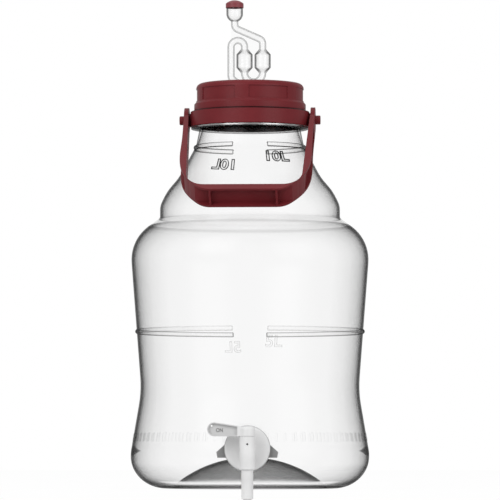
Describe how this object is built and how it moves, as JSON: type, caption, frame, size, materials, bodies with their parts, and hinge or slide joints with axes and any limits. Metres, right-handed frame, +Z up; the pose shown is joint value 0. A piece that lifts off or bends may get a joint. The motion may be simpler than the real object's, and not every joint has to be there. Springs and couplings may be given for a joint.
{
  "type": "carboy with spigot",
  "caption": "Clear wide-neck fermenting jar with a screw lid, bubble airlock, swing handle on a neck collar, and a lever tap low on the front.",
  "frame": {"origin": "on the jar's axis, in the plane of the ring that the jar stands on", "axes": "+Z up along the jar's axis, -Y to the front where the tap is, +X to the right seen from the front"},
  "size_m": [0.2258, 0.25, 0.4758],
  "materials": {
    "clear_jar": "gloss",
    "burgundy_plastic": "semi-gloss moulded",
    "white_plastic": "semi-gloss moulded",
    "clear_airlock": "gloss",
    "red_cap": "semi-gloss moulded",
    "soft_seal": "matt silicone",
    "dark_seal": "matt"
  },
  "bodies": {
    "jar": {"carboy_body": "clear_jar", "tap_body": "white_plastic", "tap_outer_gasket": "soft_seal", "tap_inner_gasket": "soft_seal", "tap_nut": "white_plastic"},
    "collar": {"carry_ring": "burgundy_plastic"},
    "bail": {"handle": "burgundy_plastic"},
    "seal": {"lid_gasket": "soft_seal"},
    "cover": {"lid": "burgundy_plastic", "airlock_grommet": "dark_seal", "airlock_body": "clear_airlock", "airlock_cap": "red_cap"},
    "valve": {"tap_key": "white_plastic"}
  },
  "joints": [
    {"name": "collar_turn", "type": "hinge", "parent": "jar", "child": "collar", "pos_m": [0, 0, 0.3495], "axis": [0, 0, 1], "continuous": true},
    {"name": "handle_swing", "type": "hinge", "parent": "collar", "child": "bail", "pos_m": [0, 0, 0.3495], "axis": [-0.9979, 0.0645, 0], "range_deg": [0, 258.4]},
    {"name": "lid_rise", "type": "slide", "parent": "jar", "child": "seal", "axis": [0, 0, 1], "range_m": [0, 0.012]},
    {"name": "lid_turn", "type": "hinge", "parent": "seal", "child": "cover", "pos_m": [0, 0, 0.37], "axis": [0, 0, 1], "range_deg": [0, 720]},
    {"name": "tap_turn", "type": "hinge", "parent": "jar", "child": "valve", "pos_m": [-0.0025, -0.13, 0.0376], "axis": [0, 0, 1], "range_deg": [0, 180]}
  ],
  "couplings": [
    {"joint": "lid_turn", "follows": "lid_rise", "rad_per_m": 1047.2}
  ]
}
